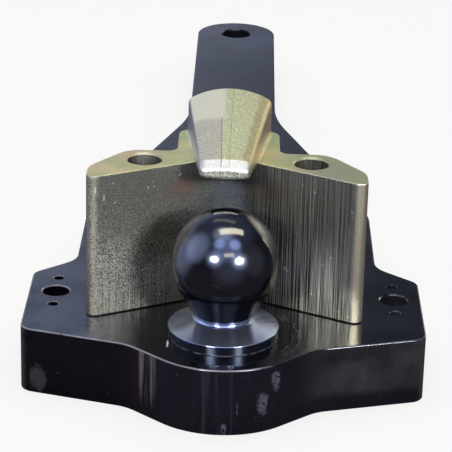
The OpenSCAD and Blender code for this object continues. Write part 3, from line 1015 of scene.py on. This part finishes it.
def joined(first, second, name):
    """Union of two closed meshes."""
    pieces = []
    for index, bm in enumerate((first, second)):
        mesh = bpy.data.meshes.new(f"{name}_{index}")
        bm.to_mesh(mesh)
        bm.free()
        pieces.append(new_object(mesh.name, mesh))
    union = pieces[0].modifiers.new("union", "BOOLEAN")
    union.operation = "UNION"
    union.solver = "MANIFOLD"
    union.object = pieces[1]
    bpy.context.view_layer.update()
    result = bmesh.new()
    result.from_object(pieces[0], bpy.context.evaluated_depsgraph_get())
    for piece in pieces:
        bpy.data.objects.remove(piece)
    return result


new_piece("guide_block_forged", joined(block_body(), build_beak(), "block"), [YELLOW_ZINC], "yellow_zinc",
          "guide_block")


# Nut and washer in the recess under the plate

NUT_FACE_SHARE = 0.97
NUT_CONE = math.radians(30)


def build_washer():
    inner, outer = THREAD_R + THREAD_GAP, WASHER_HIGH.x
    low, high = WASHER_LOW.z, WASHER_HIGH.z
    rings = [(inner, high), (outer - EDGE_BREAK, high), (outer, high - EDGE_BREAK),
             (outer, low + EDGE_BREAK), (outer - EDGE_BREAK, low), (inner, low), (inner, high)]
    bm = turned(rings, CIRCLE_STEPS)
    bmesh.ops.remove_doubles(bm, verts=bm.verts, dist=MERGE_DISTANCE)
    return bm


def build_nut():
    """Hexagon whose corners are cut by a cone at both ends, with a plain chamfered bore."""
    low, high = NUT_LOW.z, NUT_HIGH.z
    flat_r = NUT_HIGH.y
    fall = math.tan(NUT_CONE)
    bm = bmesh.new()

    def hex_radius(angle):
        return flat_r / math.cos(angle % (math.pi / 3) - math.pi / 6)

    def loop(radius_of, z_of):
        made = []
        for k in range(CIRCLE_STEPS):
            angle = 2 * math.pi * k / CIRCLE_STEPS
            radius = radius_of(angle)
            made.append(bm.verts.new((radius * math.cos(angle), radius * math.sin(angle), z_of(radius))))
        return made

    inner = THREAD_R + THREAD_GAP
    face_r = flat_r * NUT_FACE_SHARE
    chain = [
        loop(lambda a: inner + MM, lambda r: high),
        loop(lambda a: face_r, lambda r: high),
        loop(hex_radius, lambda r: high - max(0.0, r - face_r) * fall),
        loop(hex_radius, lambda r: low + max(0.0, r - face_r) * fall),
        loop(lambda a: face_r, lambda r: low),
        loop(lambda a: inner + MM, lambda r: low),
        loop(lambda a: inner, lambda r: low + MM),
        loop(lambda a: inner, lambda r: high - MM),
    ]
    for first, second in zip(chain, chain[1:] + chain[:1]):
        bridge(bm, first, second)
    bmesh.ops.recalc_face_normals(bm, faces=bm.faces)
    return bm


new_piece("ball_washer_plated", build_washer(), [BARE_STEEL], "bare_steel", "ball_washer")
new_piece("ball_nut_plated", build_nut(), [BARE_STEEL], "bare_steel", "ball_nut")


# Floor, light and camera

FLOOR_WHITE = 0.80
FLOOR_COLOUR = (0.90, 0.89, 0.87)
FLOOR_ROUGHNESS = 0.9
FLOOR_R = 40
FLOOR_GAP = 0.2 * MM
AMBIENT = 0.35


def seen_directly(nodes, links):
    """1 for camera, glossy and transmission rays, and 0 for the light that falls on surfaces."""
    path = nodes.new("ShaderNodeLightPath")
    share = path.outputs["Is Camera Ray"]
    for name in ("Is Glossy Ray", "Is Transmission Ray"):
        either = nodes.new("ShaderNodeMath")
        either.operation = "MAXIMUM"
        links.new(share, either.inputs[0])
        links.new(path.outputs[name], either.inputs[1])
        share = either.outputs[0]
    return share


def build_floor():
    """Pale floor that shows lighter than it lights, and keeps the object's shadow."""
    bpy.ops.mesh.primitive_circle_add(vertices=CIRCLE_STEPS, radius=FLOOR_R, fill_type="NGON",
                                      location=(0, 0, PLATE_BOTTOM - FLOOR_GAP))
    floor = bpy.context.object
    floor.name = "floor"
    s = Shader("pale_floor")
    s.finish((*FLOOR_COLOUR, 1), FLOOR_ROUGHNESS)
    s.put(s.bsdf.inputs["Specular IOR Level"], 0.0)
    blend = s.node("MixShader")
    s.put(blend.inputs[0], s.product(seen_directly(s.nodes, s.links), FLOOR_WHITE))
    s.put(blend.inputs[1], s.bsdf.outputs[0])
    s.put(blend.inputs[2], s.node("Emission").outputs[0])
    s.put(s.nodes["Material Output"].inputs["Surface"], blend.outputs[0])
    floor.data.materials.append(s.material)


def build_world():
    """White for camera, glossy and transmission rays, and a plain grey as light on the surfaces."""
    world = bpy.data.worlds.new("studio")
    world.use_nodes = True
    nodes, links = world.node_tree.nodes, world.node_tree.links
    background = nodes["Background"]
    level = nodes.new("ShaderNodeMapRange")
    links.new(seen_directly(nodes, links), level.inputs["Value"])
    level.inputs["To Min"].default_value = AMBIENT
    links.new(level.outputs[0], background.inputs["Strength"])
    background.inputs["Color"].default_value = (*WHITE, 1)
    bpy.context.scene.world = world


# Room that only reflections show: linear tones, and spans of one part of the unit vector from the ball
ROOM_R = 3.2
MAT_GAP = 0.1 * MM
BELOW_TONE = (0.055, 0.050, 0.070)
ABOVE_TONE = (0.035, 0.037, 0.060)
CEILING_TONE = (0.12, 0.14, 0.25)
BACK_WALL_TONES = ((0.34, 0.40, 0.56), (0.07, 0.08, 0.115))
LOWER_WALL_TONES = ((0.52, 0.58, 0.76), (0.13, 0.14, 0.19))
HORIZON_SPAN = (-0.12, 0.02)
ACROSS_SPAN = (-0.17, 0.14)
LOWER_WALL_SPAN = (0.38, 0.24)
BACK_SPAN = (0.35, 0.75)
WALL_FOOT_SPAN = (-0.04, 0.06)
CEILING_SPAN = (0.50, 0.80)

# Soft glows of the room: (azimuth, elevation, half angle) in degrees, and colour at the middle
ROOM_GLOWS = (
    ((-78, 30, 34), (0.62, 0.76, 1.25)),
    ((-104, 8, 40), (0.44, 0.52, 0.82)),
    ((10, 8, 44), (0.12, 0.14, 0.23)),
    ((-24, 25, 22), (0.50, 0.66, 1.40)),
    ((33, 21, 22), (0.50, 0.66, 1.40)),
    ((-21, 58, 14), (0.85, 1.20, 2.30)),
    ((35, 55, 15), (1.10, 1.50, 2.70)),
    ((8, 50, 36), (0.38, 0.50, 1.10)),
    ((-35, 80, 22), (0.80, 0.95, 1.35)),
    ((68, 12, 34), (0.10, 0.115, 0.15)),
    ((140, 12, 24), (1.80, 1.55, 1.20)),
)


def direction(azimuth, elevation):
    """Unit vector at that azimuth, from -Y towards +X, and elevation, in degrees."""
    azimuth, elevation = math.radians(azimuth), math.radians(elevation)
    return Vector((math.sin(azimuth) * math.cos(elevation), -math.cos(azimuth) * math.cos(elevation),
                   math.sin(elevation)))


def room_material():
    """Emission by direction from the ball: soft glows before dark walls, paler at the back and above."""
    s = Shader("studio_room")
    centred = s.node("VectorMath", operation="NORMALIZE")
    s.put(centred.inputs[0], s.place)
    towards = centred.outputs[0]
    x, y, z = (s.axis(towards, letter) for letter in "XYZ")
    tone = s.mix(s.span(z, *HORIZON_SPAN), BELOW_TONE, ABOVE_TONE)
    across = s.span(x, *ACROSS_SPAN)
    wall = s.mix(across, *BACK_WALL_TONES)
    wall = s.over(wall, s.mix(across, *LOWER_WALL_TONES), s.span(z, *LOWER_WALL_SPAN))
    tone = s.over(tone, wall, s.span(y, *BACK_SPAN), s.span(z, *WALL_FOOT_SPAN))
    tone = s.over(tone, CEILING_TONE, s.span(z, *CEILING_SPAN))
    for (azimuth, elevation, half_angle), colour in ROOM_GLOWS:
        along = s.node("VectorMath", operation="DOT_PRODUCT")
        s.put(along.inputs[0], towards)
        along.inputs[1].default_value = direction(azimuth, elevation)
        glow = s.span(along.outputs["Value"], math.cos(math.radians(half_angle)), 1.0)
        tone = s.mix(glow, tone, s.mix(1.0, tone, colour, "ADD"))
    emission = s.node("Emission")
    s.put(emission.inputs["Color"], tone)
    s.put(s.nodes["Material Output"].inputs["Surface"], emission.outputs[0])
    s.nodes.remove(s.bsdf)
    s.material.cycles.emission_sampling = "NONE"
    return s.material


def build_room():
    """Dome and dark mat that only reflections show, after what the ball mirrors in the photograph."""
    material = room_material()
    bpy.ops.mesh.primitive_uv_sphere_add(segments=CIRCLE_STEPS, ring_count=CIRCLE_STEPS // 2, radius=ROOM_R)
    bpy.context.object.name = "studio_dome"
    bpy.ops.mesh.primitive_circle_add(vertices=CIRCLE_STEPS, radius=ROOM_R, fill_type="NGON")
    bpy.context.object.name = "studio_mat"
    bpy.context.object.data.transform(Matrix.Translation((0, 0, PLATE_BOTTOM - MAT_GAP)))
    for name in ("studio_dome", "studio_mat"):
        surface = bpy.data.objects[name]
        surface.data.materials.append(material)
        surface.visible_camera = False
        surface.visible_diffuse = False
        surface.visible_shadow = False


# Lamps: the distance of the front ones from the ball, and the ones that look like windows in the gloss
LAMP_DISTANCE = 2.5
CREAM = (1.0, 0.93, 0.70)
COOL = (0.88, 0.94, 1.0)
WINDOW = {"width": 0.62, "height": 0.40, "radiance": 95.0, "colour": COOL, "shape": "ELLIPSE", "gloss": True}


def add_lamp(name, place, turn, width, height, radiance, colour=WHITE, shape="RECTANGLE", gloss=False):
    """Area lamp whose face has that radiance, where 1 is white. It lights matt surfaces, or with gloss it
    only shows in reflections."""
    data = bpy.data.lights.new(name, "AREA")
    data.shape = shape
    data.size, data.size_y = width, height
    data.energy = radiance * math.pi * width * height
    data.color = colour
    lamp = new_object(name, data)
    lamp.location = place
    lamp.rotation_euler = turn
    lamp.visible_diffuse = not gloss
    lamp.visible_glossy = gloss


def add_front_lamp(name, azimuth, elevation, **settings):
    """Lamp at LAMP_DISTANCE from the ball, aimed at it."""
    away = direction(azimuth, elevation)
    add_lamp(name, away * LAMP_DISTANCE, away.to_track_quat("Z", "Y").to_euler(), **settings)


def add_ceiling_lamp(name, place, turn_deg, **settings):
    """Lamp that looks straight down, turned about the vertical."""
    add_lamp(name, place, (0, 0, math.radians(turn_deg)), **settings)


def build_lamps():
    """Places and sizes read from the highlights on the ball."""
    add_front_lamp("front_left", -24.0, 25.0, **WINDOW)
    add_front_lamp("front_right", 33.0, 21.5, **WINDOW)
    add_front_lamp("front_warm", 10.8, 35.4, width=0.90, height=0.35, radiance=2.8, colour=CREAM, gloss=True)
    add_front_lamp("soft_front", 0.0, 50.0, width=1.40, height=1.40, radiance=1.5)
    add_ceiling_lamp("ceiling", (0.0, 0.3, 2.4), 0, width=2.60, height=2.60, radiance=1.7)
    add_ceiling_lamp("ceiling_bar", (0.36, 0.04, 1.77), 12, width=1.40, height=0.45, radiance=4.5,
                     colour=CREAM, gloss=True)
    add_ceiling_lamp("ceiling_bar_far", (-0.09, 1.0, 1.77), -14, width=1.15, height=0.35, radiance=0.5,
                     colour=CREAM, gloss=True)


# The camera was fitted to the outlines in the photograph
CAMERA_PLACE = (0.010525, -1.450533, 0.603453)
CAMERA_PITCH_DEG = 21.636
CAMERA_YAW_DEG = -0.411
CAMERA_ROLL = math.radians(1.494)
FOCAL_PIXELS = 2136.449
PHOTO_PIXELS = 452
SENSOR_MM = 36
VIEW_END = 200


def build_camera():
    forward = direction(180 - CAMERA_YAW_DEG, -CAMERA_PITCH_DEG)
    level_right = direction(90 - CAMERA_YAW_DEG, 0)
    level_up = level_right.cross(forward)
    right = math.cos(CAMERA_ROLL) * level_right + math.sin(CAMERA_ROLL) * level_up
    up = -math.sin(CAMERA_ROLL) * level_right + math.cos(CAMERA_ROLL) * level_up
    data = bpy.data.cameras.new("camera")
    data.sensor_width = SENSOR_MM
    data.lens = FOCAL_PIXELS * SENSOR_MM / PHOTO_PIXELS
    data.clip_end = VIEW_END
    camera = new_object("camera", data)
    turn = Matrix((right, up, -forward)).transposed()
    camera.matrix_world = Matrix.Translation(CAMERA_PLACE) @ turn.to_4x4()
    bpy.context.scene.camera = camera


build_floor()
build_world()
build_room()
build_lamps()
build_camera()
bpy.context.scene.view_settings.view_transform = "Standard"
